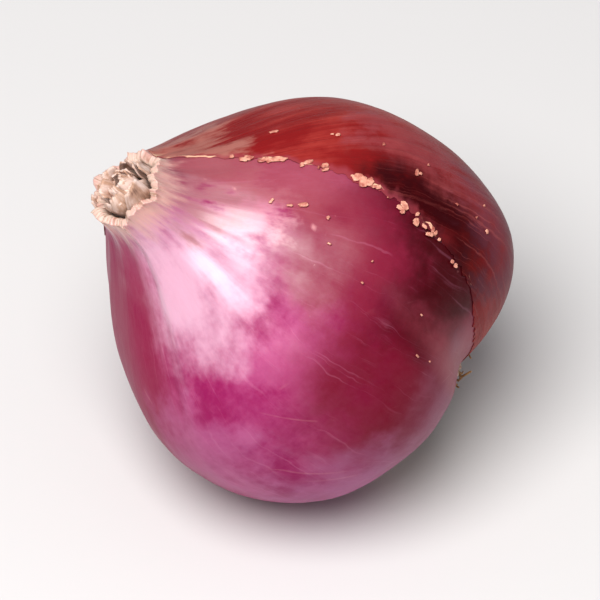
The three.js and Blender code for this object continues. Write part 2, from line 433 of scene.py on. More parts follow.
# The angle, in degrees, at which the outer skin starts.
def tornEdge(graph, form, along):
    _, height, rise, _ = skinProfile(graph, form, along)
    return form["tornStart"] + height + form["tornSwing"] * rise**3


def edgeNoise(graph, along, scale, seed, detail=2.0):
    return graph.noise(graph.vector(along * scale, seed, 0), 1.0, detail) - 0.5


def gridPlace(graph):  # where a point of a unit grid lies, -0.5 to 0.5 across and 0 to 1 along
    x, y, _ = graph.split(graph.add("GeometryNodeInputPosition", {}, {}))
    return x, y + 0.5


def unitGrid(graph, columns, rows):
    grid = graph.add(
        "GeometryNodeMeshGrid",
        {},
        {"Size X": 1.0, "Size Y": 1.0, "Vertices X": columns + 1, "Vertices Y": rows + 1},
    )
    return store(graph, grid, "UVMap", grid.also("UV Map"), "FLOAT2", "CORNER")


# A tree, its sizes as wires, a grid for it to bend into shape, and where the grid's points lie.
def startGrid(name, sizes, columns):
    graph, size = startTree(name, sizes)
    grid = unitGrid(graph, size[columns], size["rows"])
    return graph, size, grid, *gridPlace(graph)


# Copies of a grid or line, all at the origin, and the random numbers that each has of its own.
def scatter(graph, shape, count, seed, ranges):
    points = graph.add("GeometryNodePoints", {}, {"Count": count, "Radius": 0.001})
    copies = graph.add("GeometryNodeInstanceOnPoints", {}, {"Points": points, "Instance": shape})
    index = graph.add("GeometryNodeInputIndex", {}, {})
    copies = store(graph, copies, "order", index / count, domain="INSTANCE")
    for number, (name, (low, high)) in enumerate(ranges.items()):
        sockets = {2: low, 3: high, 7: index, 8: seed + 10 * number}
        value = graph.add("FunctionNodeRandomValue", {"data_type": "FLOAT"}, sockets, 1)
        copies = store(graph, copies, name, value, domain="INSTANCE")
    copies = graph.add("GeometryNodeRealizeInstances", {}, {"Geometry": copies})
    return copies, {name: recall(graph, name) for name in ("order", *ranges)}


# How a papery blade is torn at its end, and how it is crumpled.
def paperNoise(graph, x, v, own, tornAcross):
    torn = graph.noise(graph.vector(x * tornAcross + own, own, 0), detail=3.0) - 0.5
    return torn, graph.noise(graph.vector(x * 1.6 + own, v * 2.4, own)) - 0.5


def moveTo(graph, geometry, position):
    return graph.add("GeometryNodeSetPosition", {}, {"Geometry": geometry, "Position": position})


def weld(graph, geometry):
    return graph.add("GeometryNodeMergeByDistance", {}, {"Geometry": geometry, "Distance": 0.001 * mm})


def startMaterial(name):
    material = bpy.data.materials.new(name)
    material.use_nodes = True
    material.node_tree.nodes.clear()
    return material, Graph(material.node_tree)


def finishMaterial(graph, sockets):
    shader = graph.add("ShaderNodeBsdfPrincipled", {}, sockets)
    graph.add("ShaderNodeOutputMaterial", {}, {"Surface": shader})


def bump(graph, height, strength, distance):
    return graph.add(
        "ShaderNodeBump", {}, {"Height": height, "Strength": strength, "Distance": distance * mm}, "Normal"
    )


# How near a place on the bulb is to a direction, given as an angle round it and a latitude, in degrees.
def towards(graph, angle, latitude, inner, outer, waver):
    turn, rise = math.radians(angle), math.radians(latitude)
    level = math.cos(rise)
    way = bulbAxes @ Vector((math.cos(turn) * level, math.sin(turn) * level, math.sin(rise)))
    place = graph.objectPlace()
    out = graph.vectorMaths("SUBTRACT", place, tuple(bulbCentre * mm))
    out = graph.vectorMaths("NORMALIZE", out, (0, 0, 0))
    near = graph.vectorMaths("DOT_PRODUCT", out, tuple(way), "Value")
    return graph.smooth(math.cos(math.radians(outer)), math.cos(math.radians(inner)), near + waver)


skinLook = {
    "pink": "#ac4a78",
    "magenta": "#8f2059",
    "dusty": "#994f59",
    "cream": "#d4a89f",
    "straw": "#c9b4a6",
    "tan": "#957260",
    "vein": "#cf8aa6",
    "scuff": "#e0a3a4",
    "band": 26.0,  # degrees from the tear to the far edge of the dusty band
    "bandShare": 0.8,
    "veinShare": 0.14,
    "scuffShare": 0.45,
    "rubShare": 0.12,
    "roughness": 0.42,
    "dryRoughness": 0.3,  # how much rougher the dry neck and root end are
    "dryDulls": 0.5,  # and how much coat the dry neck loses
    "bump": 0.5,
    "bumpDepth": 0.24,
    "coatRoughness": 0.31,
    "coatIor": 1.6,
    "specular": 0.1,
    "fleshy": 0.08,
    "fleshReach": 0.8,  # mm
}

skinPatterns = {
    "cloud": {"around": 1.8, "stretch": 5.0, "seed": 5, "detail": 4.0},
    "blotch": {"around": 5, "stretch": 14.0, "seed": 8, "detail": 5.0, "roughness": 0.62},
    "patch": {"around": 4.2, "stretch": 9.0, "seed": 18, "detail": 3.0, "roughness": 0.55},
    "fine": {"around": 22, "stretch": 60.0, "seed": 12, "detail": 4.0, "roughness": 0.6},
    "streak": {"around": 14, "stretch": 1.6, "seed": 15, "detail": 4.0, "roughness": 0.6},
}
puffPattern = {"scale": 210.0, "detail": 4.0, "roughness": 0.55}
threadPattern = {"around": 48, "stretch": 4.0, "seed": 25, "detail": 3.0, "roughness": 0.6}
threadBend = 0.12  # radians by which the patches bend the threads
rubPattern = {"around": 3.2, "stretch": 3, "seed": 35, "detail": 0.0}
rubTwist = 2.4  # radians by which the rubbed lines wind round on their way to the neck
rubPieces = {"around": 5, "stretch": 9, "seed": 45}
bandEdgeNoise = {"scale": 18, "seed": 30, "detail": 3.0}
bandPieces = {"scale": 40, "seed": 34, "detail": 3.0}
bandWaver = 6  # degrees
creaseWaver = 12

skinMixtures = {
    "mottle": {"cloud": 1, "blotch": 0.8, "fine": 0.5, "streak": 0.15, "patch": 0.4, "puff": 0.5},
    "zoneEdge": {"blotch": 0.12, "patch": 0.1, "puff": 0.18},
    "glossEdge": {"patch": 0.08, "puff": 0.2},
    "vein": {"thread": 1, "blotch": 0.3},
    "creamEdge": {"streak": 0.1, "blotch": 0.2},
    "dryEdge": {"streak": 0.2},
    "fibre": {"blotch": 1, "fine": 1, "streak": 0.4},
    "rootEdge": {"streak": 0.12},
    "rough": {"blotch": 0.3, "fine": 0.3},
    "shine": {"patch": 0.6, "blotch": 0.6, "puff": 1.4},
    "fineShine": {"fine": 0.4},
}
broadRelief = {"blotch": 0.25, "patch": 0.22, "puff": 0.25}
fineRelief = {"streak": 0.08, "thread": 0.12, "fine": 0.2, "scuffed": 0.1}

skinColourFades = {
    "mottle": (-0.3, 0.3),
    "bandFar": (-3, 5),  # degrees from the band's far edge
    "line": (1.6, 0.2),
    "bandNear": (60, 30),  # degrees from the tear
    "linePieces": (0.02, 0.14),
    "lineHeight": (0.4, 0.5),  # shares of the way from the widest ring to the neck's rim
    "rubHeight": (0.8, 0.6),
    "cream": (0.88, 1.0),
    "dry": (0.97, 1.05),
    "scuff": (0.2, 0.27),
    "scuffPatch": (0.05, 0.2),
    "rubLine": (0.012, 0.002),
    "rubPieces": (0.04, 0.16),
    "vein": (0.08, 0.26),
    "fibre": (-0.02, 0.2),
    "root": (0.17, 0.07),  # shares of the whole way along
}

# Where the body is of another colour, its own or painted light and shade as noted at each zone: an angle
# round it and a latitude, and how far it fades out, in degrees. Each zone is painted over the ones before
# it.
skinZones = {
    # Darker rose on the left flank: partly the skin's own colour, partly painted shade where the flank turns
    # from the light.
    "shadedFlank": {"at": (-145, 42), "fade": (14, 60), "share": 0.9, "colour": "#8a1d44"},
    "low": {"at": (-93, 17), "fade": (3, 21), "share": 0.36, "colour": "#8b1a5a"},
    # Painted sheen: lighter pink on the front, below the light patch.
    "sheenVeil": {"at": (-68, 22), "fade": (3, 22), "share": 0.32, "colour": "#c9759f"},
    # These two zones: wine on the right and lower side, away from the light, partly the skin's own colour
    # and partly painted shade.
    "deep": {"at": (-57, -13), "fade": (12, 47), "share": 0.97, "colour": "#74122b"},
    "dark": {"at": (-18, 2), "fade": (12, 41), "share": 1.0, "colour": "#480410"},
    # A painted highlight: whitish lilac on the shoulder, where the window light is reflected.
    "pale": {"at": (-84, 59), "fade": (0, 30), "share": 0.75, "colour": "#dcb3c6"},
    "rosy": {"at": (-33, 26), "fade": (4, 28), "share": 0.92, "colour": "#84233e"},
    # A painted highlight: pale pink at the top of the light patch, near the neck.
    "highlightBlush": {"at": (-28, 60), "fade": (3, 17), "share": 0.5, "colour": "#dca4ae"},
    "mauve": {"at": (-14, 73), "fade": (4, 20), "share": 0.75, "colour": "#965d62"},
    # The next three zones: painted reflection, lilac grey, of the pale floor and room along the lower and
    # right edges.
    "floorReflection": {"at": (-104, -28), "fade": (2, 32), "share": 0.6, "colour": "#b0729a"},
    "edge": {"at": (-119, 12), "fade": (4, 25), "share": 0.35, "colour": "#ba769f"},
    "violet": {"at": (-60, -50), "fade": (12, 38), "share": 0.68, "colour": "#9a6078"},
}

# The zones that keep to one side of the crease, in degrees past it: the flank's painted shade on the side
# turned from the light, the painted highlight on the other. And where the skin is glossy.
creaseSides = {"shadedFlank": (3, -19), "pale": (-22, 2)}
gloss = {"at": (-67, 61), "fade": (4, 33), "low": 0.15, "high": 0.85}


def zoneMask(graph, zone, waver):
    return towards(graph, *zone["at"], *zone["fade"], waver)


def makeSkinMaterial():
    material, graph = startMaterial("shallotSkin")
    look = skinLook
    fade = fading(graph, skinColourFades)
    across, along = graph.gridShares()
    theta = (across - 0.5) * fullTurn
    rise = (along - rootShare) / (rimShare - rootShare)
    patterns = {name: ringNoise(graph, theta, along, **one) for name, one in skinPatterns.items()}
    place = graph.objectPlace()
    patterns["puff"] = graph.noise(place, **puffPattern) - 0.5
    bent = theta + threadBend * patterns["patch"]
    patterns["thread"] = ringNoise(graph, bent, along, **threadPattern)
    mixed = {name: mixture(patterns, shares) for name, shares in skinMixtures.items()}

    _, height, _, _ = skinProfile(graph, bulbForm, along)
    past = pastCrease(graph, bulbForm, theta, height) + creaseWaver * patterns["blotch"]
    colour = graph.mix(fade("mottle", mixed["mottle"]), look["magenta"], look["pink"])
    masks = {}
    for name, zone in skinZones.items():
        mask = zone["share"] * zoneMask(graph, zone, mixed["zoneEdge"])
        masks[name] = mask * graph.smooth(*creaseSides[name], past) if name in creaseSides else mask
        colour = graph.mix(masks[name], colour, zone["colour"])

    below = graph.maths("DEGREES", theta) - tornEdge(graph, {**bulbForm, **sheetForm}, along)
    below = below + bandWaver * edgeNoise(graph, along, **bandEdgeNoise)
    fromLine = below + look["band"]
    band = fade("bandFar", fromLine) * fade("bandNear", below) * (1 - masks["dark"])
    colour = graph.mix(look["bandShare"] * band, colour, look["dusty"])
    line = fade("line", graph.maths("ABSOLUTE", fromLine)) * fade("lineHeight", rise)
    line = line * fade("linePieces", edgeNoise(graph, along, **bandPieces))
    scuffs = fade("scuff", patterns["fine"]) * fade("scuffPatch", patterns["blotch"])
    patterns["scuffed"] = graph.atLeast(line, scuffs)
    colour = graph.mix(look["scuffShare"] * patterns["scuffed"], colour, look["scuff"])
    rubbed = graph.maths("ABSOLUTE", ringNoise(graph, theta + rubTwist * along, along, **rubPattern))
    rubbed = fade("rubLine", rubbed) * fade("rubPieces", ringNoise(graph, theta, along, **rubPieces))
    rubbed = rubbed * fade("rubHeight", rise) * (1 - masks["dark"])
    colour = graph.mix(look["rubShare"] * rubbed, colour, look["scuff"])
    colour = graph.mix(look["veinShare"] * fade("vein", mixed["vein"]), colour, look["vein"])

    colour = graph.mix(fade("cream", rise + mixed["creamEdge"]), colour, look["cream"])
    dry = fade("dry", rise + mixed["dryEdge"])
    fibrous = graph.mix(fade("fibre", mixed["fibre"]), look["straw"], look["tan"])
    colour = graph.mix(dry, colour, fibrous)
    rootward = fade("root", along + mixed["rootEdge"])
    colour = graph.mix(rootward, colour, fibrous)

    glossy = gloss["low"] + (gloss["high"] - gloss["low"]) * zoneMask(graph, gloss, mixed["glossEdge"])
    coat = glossy * (1 + mixed["shine"]) + mixed["fineShine"] - look["dryDulls"] * dry
    rough = look["roughness"] + mixed["rough"] + look["dryRoughness"] * (dry + rootward)
    relief = mixture(patterns, broadRelief) + mixture(patterns, fineRelief)
    finishMaterial(
        graph,
        {
            "Base Color": colour,
            "Roughness": graph.clamp(rough),
            "Normal": bump(graph, relief, look["bump"], look["bumpDepth"]),
            "Coat Weight": graph.clamp(coat),
            "Coat Roughness": look["coatRoughness"],
            "Coat IOR": look["coatIor"],
            "Specular IOR Level": look["specular"],
            "Subsurface Weight": look["fleshy"],
            "Subsurface Radius": (1.0, 0.3, 0.25),
            "Subsurface Scale": look["fleshReach"] * mm,
        },
    )
    return material


bulbMesh = {"around": 400, "rows": 240}


def growBulb():
    sizes = {**bulbForm, **bulbMesh}
    graph, size, grid, x, along = startGrid("bulbTree", sizes, "around")
    placed = moveTo(graph, grid, skinPlace(graph, size, x * fullTurn, along, 0.0))
    return runTree("shallotBulb", graph, sizes, weld(graph, placed), makeSkinMaterial())


placePiece(growBulb(), "bulb_skin", "bulb")


def growOuterSkin():
    sizes = {**bulbForm, **sheetForm}
    graph, size, grid, x, v = startGrid("outerSkinTree", sizes, "around")
    u = (x + 0.5) ** size["gather"]
    along = size["low"] + (size["high"] - size["low"]) * v
    tatter = size["tatter"] * edgeNoise(graph, along, **tatterNoise)
    tatter = tatter + size["fineTatter"] * edgeNoise(graph, along, **fineTatterNoise)
    theta = graph.maths("RADIANS", tornEdge(graph, size, along) + tatter + size["span"] * u)
    ends = size["endTatter"] * ringNoise(graph, theta, 0.0, **endNoise) * (1 - 2 * v)
    along = along + ends * graph.smooth(*nearEnd, graph.maths("ABSOLUTE", v - 0.5))
    nearEdge = graph.smooth(size["curlWidth"], 0, u)
    curl = size["curl"] * nearEdge * graph.smooth(*curled, edgeNoise(graph, along, **curlNoise))
    wave = size["wave"] * (0.5 + ringNoise(graph, theta, along, **waveNoise)) * (1 - nearEdge)
    kept = store(graph, grid, "tear", u * size["span"])
    kept = store(graph, kept, "skinAngle", theta)
    placed = moveTo(graph, kept, skinPlace(graph, size, theta, along, size["lift"] + curl + wave))
    return runTree("outerSkin", graph, sizes, placed, makeSheetMaterial(), sheetThickness)


sheetLook = {
    "copper": "#a23d37",
    "red": "#832022",
    "edge": "#974650",
    "violet": "#7a2c40",
    "vein": "#b4605b",
    "straw": "#cbb098",
    "peach": "#eab79c",
    "violetShare": 0.4,
    "veinShare": 0.3,
    "wornShare": 0.7,
    "lightFrom": 15.0,  # degrees from the tear at which the dark band ends and the lighter one starts
    "roughness": 0.4,
    "dryRoughness": 0.3,
    "dryDulls": 0.4,
    "bump": 0.7,
    "bumpDepth": 0.28,
    "coat": 0.08,
    "coatRoughness": 0.27,
    "specular": 0.07,
}

sheetPatterns = {
    "cloud": {"around": 1.8, "stretch": 5.0, "seed": 65, "detail": 4.0},
    "blotch": {"around": 5, "stretch": 14.0, "seed": 68, "detail": 5.0, "roughness": 0.62},
    "streak": {"around": 16, "stretch": 2.0, "seed": 75, "detail": 4.0, "roughness": 0.62},
}
sheetThread = {"around": 55, "stretch": 4.0, "seed": 85, "detail": 3.0, "roughness": 0.6}
sheetThreadBend = 0.1

# The peach fray along the tear: there is more of it towards the neck, and less away from the tear.
sheetFray = {"scale": 20, "acrossScale": 0.3, "seed": 4, "from": 0.57, "neckward": 0.06, "fall": 0.035}

sheetMixtures = {
    "mottle": {"cloud": 1, "blotch": 0.8, "streak": 0.6},
    "zoneEdge": {"blotch": 0.3, "streak": 0.1},
    "bandEdge": {"blotch": 12, "streak": 8},  # degrees
    "wornEdge": {"blotch": 8},
    "vein": {"thread": 1, "streak": 0.3},
    "veinPatch": {"cloud": 1, "blotch": 1},
    "dryEdge": {"streak": 0.4},
    "relief": {"streak": 0.5, "thread": 0.4, "blotch": 0.4},
    "rough": {"blotch": 0.5, "streak": 0.3},
    "shine": {"blotch": 0.7, "streak": 0.4},
}

sheetFades = {
    "mottle": (-0.2, 0.25),
    "violet": (0.02, 0.3),
    "vein": (0.04, 0.22),
    "veinPatch": (-0.2, 0.2),
    "worn": (4.5, 0.5),  # degrees from the tear
    "wornHeight": (-0.1, 0.3),  # shares of the way from the widest ring to the neck's rim
    "dry": (0.9, 1.02),
    "peach": (0.0, 0.05),
}

sheetZones = {
    # Dark wine on the right side, away from the light: partly the skin's own colour, partly painted shade.
    "dark": {"at": (-11, 3), "fade": (2, 35), "share": 1.0, "colour": "#3a040b"},
    "shade": {"at": (62, -22), "fade": (6, 50), "share": 0.7, "colour": "#561019"},
    # Lighter streaks towards the top right: partly the skin's own paler streaks, partly painted light.
    "streakyLight": {"at": (9, 12), "fade": (2, 22), "share": 0.5, "colour": "#8f4c54"},
    # A painted reflection: lilac grey along the lower right edge, where the pale floor and room are
    # reflected.
    "rim": {"at": (4, -26), "fade": (4, 30), "share": 0.7, "colour": "#693a4a"},
    "collar": {"at": (15, 76), "fade": (2, 22), "share": 0.5, "colour": "#b98c80"},
}

# The zones that keep to one side of the dark band's end, in degrees past it.
bandSides = {"dark": (9, -5), "streakyLight": (-6, 8)}


def makeSheetMaterial():
    material, graph = startMaterial("dryOuterSkin")
    look = sheetLook
    fade = fading(graph, sheetFades)
    _, v = graph.gridShares()
    theta = graph.kept("skinAngle")
    tear = graph.kept("tear")
    along = sheetForm["low"] + (sheetForm["high"] - sheetForm["low"]) * v
    rise = (along - rootShare) / (rimShare - rootShare)
    patterns = {name: ringNoise(graph, theta, along, **one) for name, one in sheetPatterns.items()}
    bent = theta + sheetThreadBend * patterns["blotch"]
    patterns["thread"] = ringNoise(graph, bent, along, **sheetThread)
    mixed = {name: mixture(patterns, shares) for name, shares in sheetMixtures.items()}

    colour = graph.mix(fade("mottle", mixed["mottle"]), look["red"], look["copper"])
    violet = fade("violet", patterns["blotch"]) * look["violetShare"]
    colour = graph.mix(violet, colour, look["violet"])
    bandEnd = tear + mixed["bandEdge"] - look["lightFrom"]
    for name, zone in sheetZones.items():
        mask = zone["share"] * zoneMask(graph, zone, mixed["zoneEdge"])
        mask = mask * graph.smooth(*bandSides[name], bandEnd) if name in bandSides else mask
        colour = graph.mix(mask, colour, zone["colour"])
    veined = fade("vein", mixed["vein"]) * fade("veinPatch", mixed["veinPatch"])
    colour = graph.mix(veined * look["veinShare"], colour, look["vein"])
    worn = fade("worn", tear + mixed["wornEdge"]) * fade("wornHeight", rise)
    colour = graph.mix(worn * look["wornShare"], colour, look["edge"])
    dry = fade("dry", rise + mixed["dryEdge"])
    colour = graph.mix(dry, colour, look["straw"])
    fray = sheetFray
    frayed = graph.vector(along * fray["scale"], tear * fray["acrossScale"], fray["seed"])
    frayed = graph.noise(frayed, detail=3.0) - fray["from"] + fray["neckward"] * graph.clamp(rise)
    peachy = fade("peach", frayed - fray["fall"] * tear)
    colour = graph.mix(peachy, colour, look["peach"])

    finishMaterial(
        graph,
        {
            "Base Color": colour,
            "Roughness": graph.clamp(look["roughness"] + mixed["rough"] + look["dryRoughness"] * dry),
            "Normal": bump(graph, mixed["relief"] + 0.3 * peachy, look["bump"], look["bumpDepth"]),
            "Coat Weight": graph.clamp(look["coat"] + mixed["shine"] - look["dryDulls"] * dry),
            "Coat Roughness": look["coatRoughness"],
            "Specular IOR Level": look["specular"],
        },
    )
    return material


placePiece(growOuterSkin(), "bulb_skin")


# Small peach flakes that stand off along the torn edge, with stray ones above and below it.
flakeForm = {
    "flakes": 54,
    "across": 8,
    "rows": 8,
    "seed": 3,
    "lowest": 0.335,
    "highest": 0.79,
    "shortest": 0.25,
    "longest": 1.5,
    "narrowest": 0.22,
    "widest": 0.95,
    "lift": 0.2,
    "cup": 0.3,
    "perShare": 60.0,  # mm of skin to a whole share of the way along
    "ragged": 0.9,
    "lean": -0.1,
    "plainSize": 0.34,
    "crowdSize": 0.7,
    "strayLoss": 0.3,
    "strayFrom": 0.68,  # flakes that drew more than this lie above the tear
    "strayBelowFrom": 0.88,  # and more than this below it
    "strayAbove": 19.0,  # degrees
    "strayBelow": -24.0,
}
flakeThickness = 0.07

# Where along the skin the flakes are larger.
flakeClusters = [
    {"along": 0.71, "reach": 0.04, "size": 0.7},
    {"along": 0.596, "reach": 0.014, "size": 1.4},
    {"along": 0.494, "reach": 0.02, "size": 1.3},
    {"along": 0.44, "reach": 0.012, "size": 0.4},
]


def growSkinFlakes():
    sizes = {**bulbForm, **sheetForm, **flakeForm}
    graph, size, grid, x, v = startGrid("skinFlakesTree", sizes, "across")
    ranges = {
        "pick": (0.0, 1.0),
        "jitter": (-1.3, 1.3),
        "long": (size["shortest"], size["longest"]),
        "wide": (size["narrowest"], size["widest"]),
        "turned": (-0.5, 0.5),
        "own": (0.0, 50.0),
    }
    grids, own = scatter(graph, grid, size["flakes"], size["seed"], ranges)
    y = v - 0.5
    bulge = graph.maths("SQRT", graph.atLeast(1 - 2 * (x * x + y * y), 0.05))
    ragged = graph.noise(graph.vector(x * 3 + own["own"], y * 3, own["own"])) - 0.5
    ragged = 1 + size["ragged"] * ragged
    right = x * 2 * own["wide"] * bulge * ragged
    ahead = y * 2 * own["long"] * bulge * ragged
    along = size["lowest"] + (size["highest"] - size["lowest"]) * own["order"] + 0.004 * own["jitter"]
    astray = graph.maths("GREATER_THAN", own["pick"], size["strayFrom"])
    below = graph.maths("GREATER_THAN", own["pick"], size["strayBelowFrom"])
    stray = astray * size["strayAbove"] + below * (size["strayBelow"] - size["strayAbove"])
    crowd = 0.0
    for one in flakeClusters:
        near = (along - one["along"]) / one["reach"]
        crowd = one["size"] * graph.maths("EXPONENT", near * near * -1) + crowd
    small = (size["plainSize"] + size["crowdSize"] * crowd) * (1 - size["strayLoss"] * astray)
    middle = tornEdge(graph, size, along) + own["jitter"] + stray * (1 + 0.2 * own["jitter"])
    slant = own["turned"] + size["lean"]
    plain, _, _, _ = skinProfile(graph, size, along)
    sideways = (right * graph.cosine(slant) - ahead * graph.sine(slant)) * small
    upwards = (right * graph.sine(slant) + ahead * graph.cosine(slant)) * small
    theta = graph.maths("RADIANS", middle) + sideways / plain
    lift = size["lift"] + size["cup"] * (x * x + y * y) * (0.4 + x)
    placed = moveTo(graph, grids, skinPlace(graph, size, theta, along + upwards / size["perShare"], lift))
    return runTree("skinFlakes", graph, sizes, placed, makeFlakeMaterial(), flakeThickness)


flakeLook = {"light": "#dba08a", "dark": "#a85c50", "scale": 1100.0, "roughness": 0.5}


def makeFlakeMaterial():
    material, graph = startMaterial("peachFlake")
    place = graph.objectPlace()
    look = flakeLook
    grain = graph.noise(place, look["scale"], 3.0, 0.6) - 0.5
    colour = graph.mix(graph.smooth(-0.16, 0.12, grain), look["dark"], look["light"])
    finishMaterial(
        graph,
        {
            "Base Color": colour,
            "Roughness": graph.clamp(look["roughness"] + 0.5 * grain),
            "Normal": bump(graph, grain, 0.6, 0.1),
            "Coat Weight": 0.3,
            "Coat Roughness": 0.25,
        },
    )
    return material


placePiece(growSkinFlakes(), "bulb_skin")


# The withered leaf ends in the neck: papery blades round a dark hollow.
bladeForm = {
    "blades": 26,
    "across": 8,
    "rows": 14,
    "seed": 4,
    "base": -2.6,
    "innerReach": 0.7,
    "outerReach": 3.6,
    "shortest": 0.2,
    "tallest": 2.0,
    "narrowest": 0.7,
    "widest": 1.7,
    "flare": 0.9,
    "ragged": 1.1,
    "crumple": 0.55,
    "tornAcross": 5.0,
    "turnsRound": 5.0,  # how often the row of blades goes round the neck
    "lipGain": 1.0,  # how much taller the blades at the front lip are
    "lipLean": 0.9,
}
bladeThickness = 0.14


def growNeckLeaves():
    sizes = {**bulbForm, **bladeForm}
    graph, size, grid, x, v = startGrid("neckLeavesTree", sizes, "across")
    ranges = {
        "reach": (size["innerReach"], size["outerReach"]),
        "tall": (size["shortest"], size["tallest"]),
        "wide": (size["narrowest"], size["widest"]),
        "lean": (-0.5, 1.0),
        "sway": (-0.6, 0.6),
        "own": (0.0, 50.0),
    }
    grids, own = scatter(graph, grid, size["blades"], size["seed"], ranges)
    torn, crumple = paperNoise(graph, x, v, own["own"], size["tornAcross"])
    height = size["base"] + v * (own["tall"] - size["base"]) + torn * size["ragged"] * v**2
    angle = fullTurn * own["order"] * size["turnsRound"] + own["sway"]
    lip = graph.maths("RADIANS", size["lipAngle"])
    facing = graph.cosine(angle - lip)
    height = height + size["lipGain"] * facing * v**2 * own["reach"] / size["outerReach"]
    above = graph.atLeast(height, 0)
    width = own["wide"] * (0.55 + 0.45 * graph.sine(math.pi * graph.clamp(v * 0.8 + 0.1)))
    lean = own["lean"] - size["lipLean"] * graph.smooth(-0.2, 0.9, facing)
    radius = own["reach"] + lean * size["flare"] * (above / 2) ** 1.5 + crumple * size["crumple"] * (0.4 + v)
    angle = angle + x * 2 * width / own["reach"] + own["sway"] * above * 0.3
    radius = graph.maths("SMOOTH_MAX", radius, 0.3, 0.2)
    height = height + size["rimSlant"] * graph.cosine(angle - lip) * radius / size["neckRadius"]
    place = neckToWorld(graph, size, radius * graph.cosine(angle), radius * graph.sine(angle), height)
    placed = moveTo(graph, grids, place)
    return runTree("neckLeaves", graph, sizes, placed, makeLeafMaterial("driedLeaf"), bladeThickness)


leafLook = {
    "cream": "#e8cfc4",
    "tan": "#c09a84",
    "brown": "#6b4836",
    "fibres": 14,  # how fine the fibres are across a leaf
    "fibreLength": 1.2,
    "roughness": 0.72,
}
leafFades = {
    "pale": (-0.12, 0.14),
    "stained": (0.06, 0.3),
    # Brown towards a leaf's foot: partly its own colour, partly painted shade down in the hollow of the
    # neck.
    "deep": (0.55, 0.2),  # shares of the way up a leaf
}


def makeLeafMaterial(name):
    material, graph = startMaterial(name)
    look = leafLook
    fade = fading(graph, leafFades)
    x, v = graph.gridShares()
    own = graph.kept("own")
    fibre = graph.noise(graph.vector(x * look["fibres"], v * look["fibreLength"], own), 1.0, 4.0, 0.6) - 0.5
    cloud = graph.noise(graph.vector(x * 2, v * 2, own + 9), detail=3.0) - 0.5
    colour = graph.mix(fade("pale", cloud + 0.5 * fibre), look["tan"], look["cream"])
    colour = graph.mix(fade("stained", 0.4 * fibre - cloud), colour, look["brown"])
    # Partly painted shade: brown where the blades go down into the neck's hollow.
    colour = graph.mix(fade("deep", v + 0.3 * cloud), colour, look["brown"])
    finishMaterial(
        graph,
        {
            "Base Color": colour,
            "Roughness": graph.clamp(look["roughness"] + 0.4 * cloud),
            "Normal": bump(graph, fibre + 0.5 * cloud, 0.7, 0.15),
            "Sheen Weight": 0.15,
            "Sheen Roughness": 0.5,
        },
    )
    return material


placePiece(growNeckLeaves(), "dry_leaf", "neck_leaves")


# The basal plate: a clumpy disc in the hollow at the root end.
plateForm = {
    "around": 96,
    "rows": 44,
    "plateRadius": 3.4,
    "plateTop": -12.7,
    "plateLow": -14.7,
    "crown": 0.45,
    "clumps": 1.0,
    "clumpScale": 1.3,
    "wavy": 0.1,
}


def growBasalPlate():
    graph, size, grid, x, v = startGrid("basalPlateTree", plateForm, "around")
    theta = x * fullTurn
    out = graph.smooth(0, 0.75, v) ** 0.6 * graph.smooth(1, 0.92, v)
    radius = size["plateRadius"] * out
    turnUp = graph.smooth(0.62, 0.95, v)
    place = graph.vector(radius * graph.cosine(theta), radius * graph.sine(theta), 3)
    lumps = (graph.noise(place, size["clumpScale"], 4.0, 0.6) - 0.5) * size["clumps"] * (1 - turnUp)
    height = size["plateLow"] - size["crown"] * (1 - out**2) + lumps
    height = height + (size["plateTop"] - height) * turnUp
    radius = radius * (1 + size["wavy"] * ringNoise(graph, theta, 0.0, 3, 0, 5))
    placed = moveTo(graph, grid, onRing(graph, radius, theta, height))
    corky = makeRootMaterial("corkyPlate", plateLook)
    return runTree("basalPlate", graph, plateForm, weld(graph, placed), corky)


plateLook = {"light": "#b08a60", "dark": "#5c3c22", "scale": 900.0, "roughness": 0.85}
rootLook = {"light": "#c39a68", "dark": "#7b5430", "scale": 600.0, "roughness": 0.75}


def makeRootMaterial(name, look):
    material, graph = startMaterial(name)
    place = graph.objectPlace()
    grain = graph.noise(place, look["scale"], 4.0, 0.65) - 0.5
    cloud = graph.noise(place, look["scale"] * 0.3) - 0.5
    pale = graph.smooth(-0.16, 0.16, grain + cloud)
    colour = graph.mix(pale, look["dark"], look["light"])
    finishMaterial(
        graph,
        {
            "Base Color": colour,
            "Roughness": graph.clamp(look["roughness"] + 0.4 * grain),
            "Normal": bump(graph, grain, 0.8, 0.2),
            "Sheen Weight": 0.2,
            "Sheen Roughness": 0.5,
        },
    )
    return material


placePiece(growBasalPlate(), "dry_root", "root_tuft")


# The rootlets: short dry strands, matted round the plate.
rootletForm = {
    "strands": 170,
    "steps": 9,
    "sides": 5,
    "seed": 9,
    "startHeight": -14.4,
    "startReach": 3.1,
    "shortest": 0.8,
    "longest": 3.4,
    "splay": 0.52,
    "sink": 0.75,  # how much of its length a strand goes down
    "curve": 1.25,  # radians by which it turns outwards on its way
    "kink": 1.6,
    "kinks": 2.2,
    "turnsRound": 89.0,  # how often the row of strands goes round the plate
    "taper": 0.6,
    "thinnest": 0.11,
    "thickest": 0.24,
}


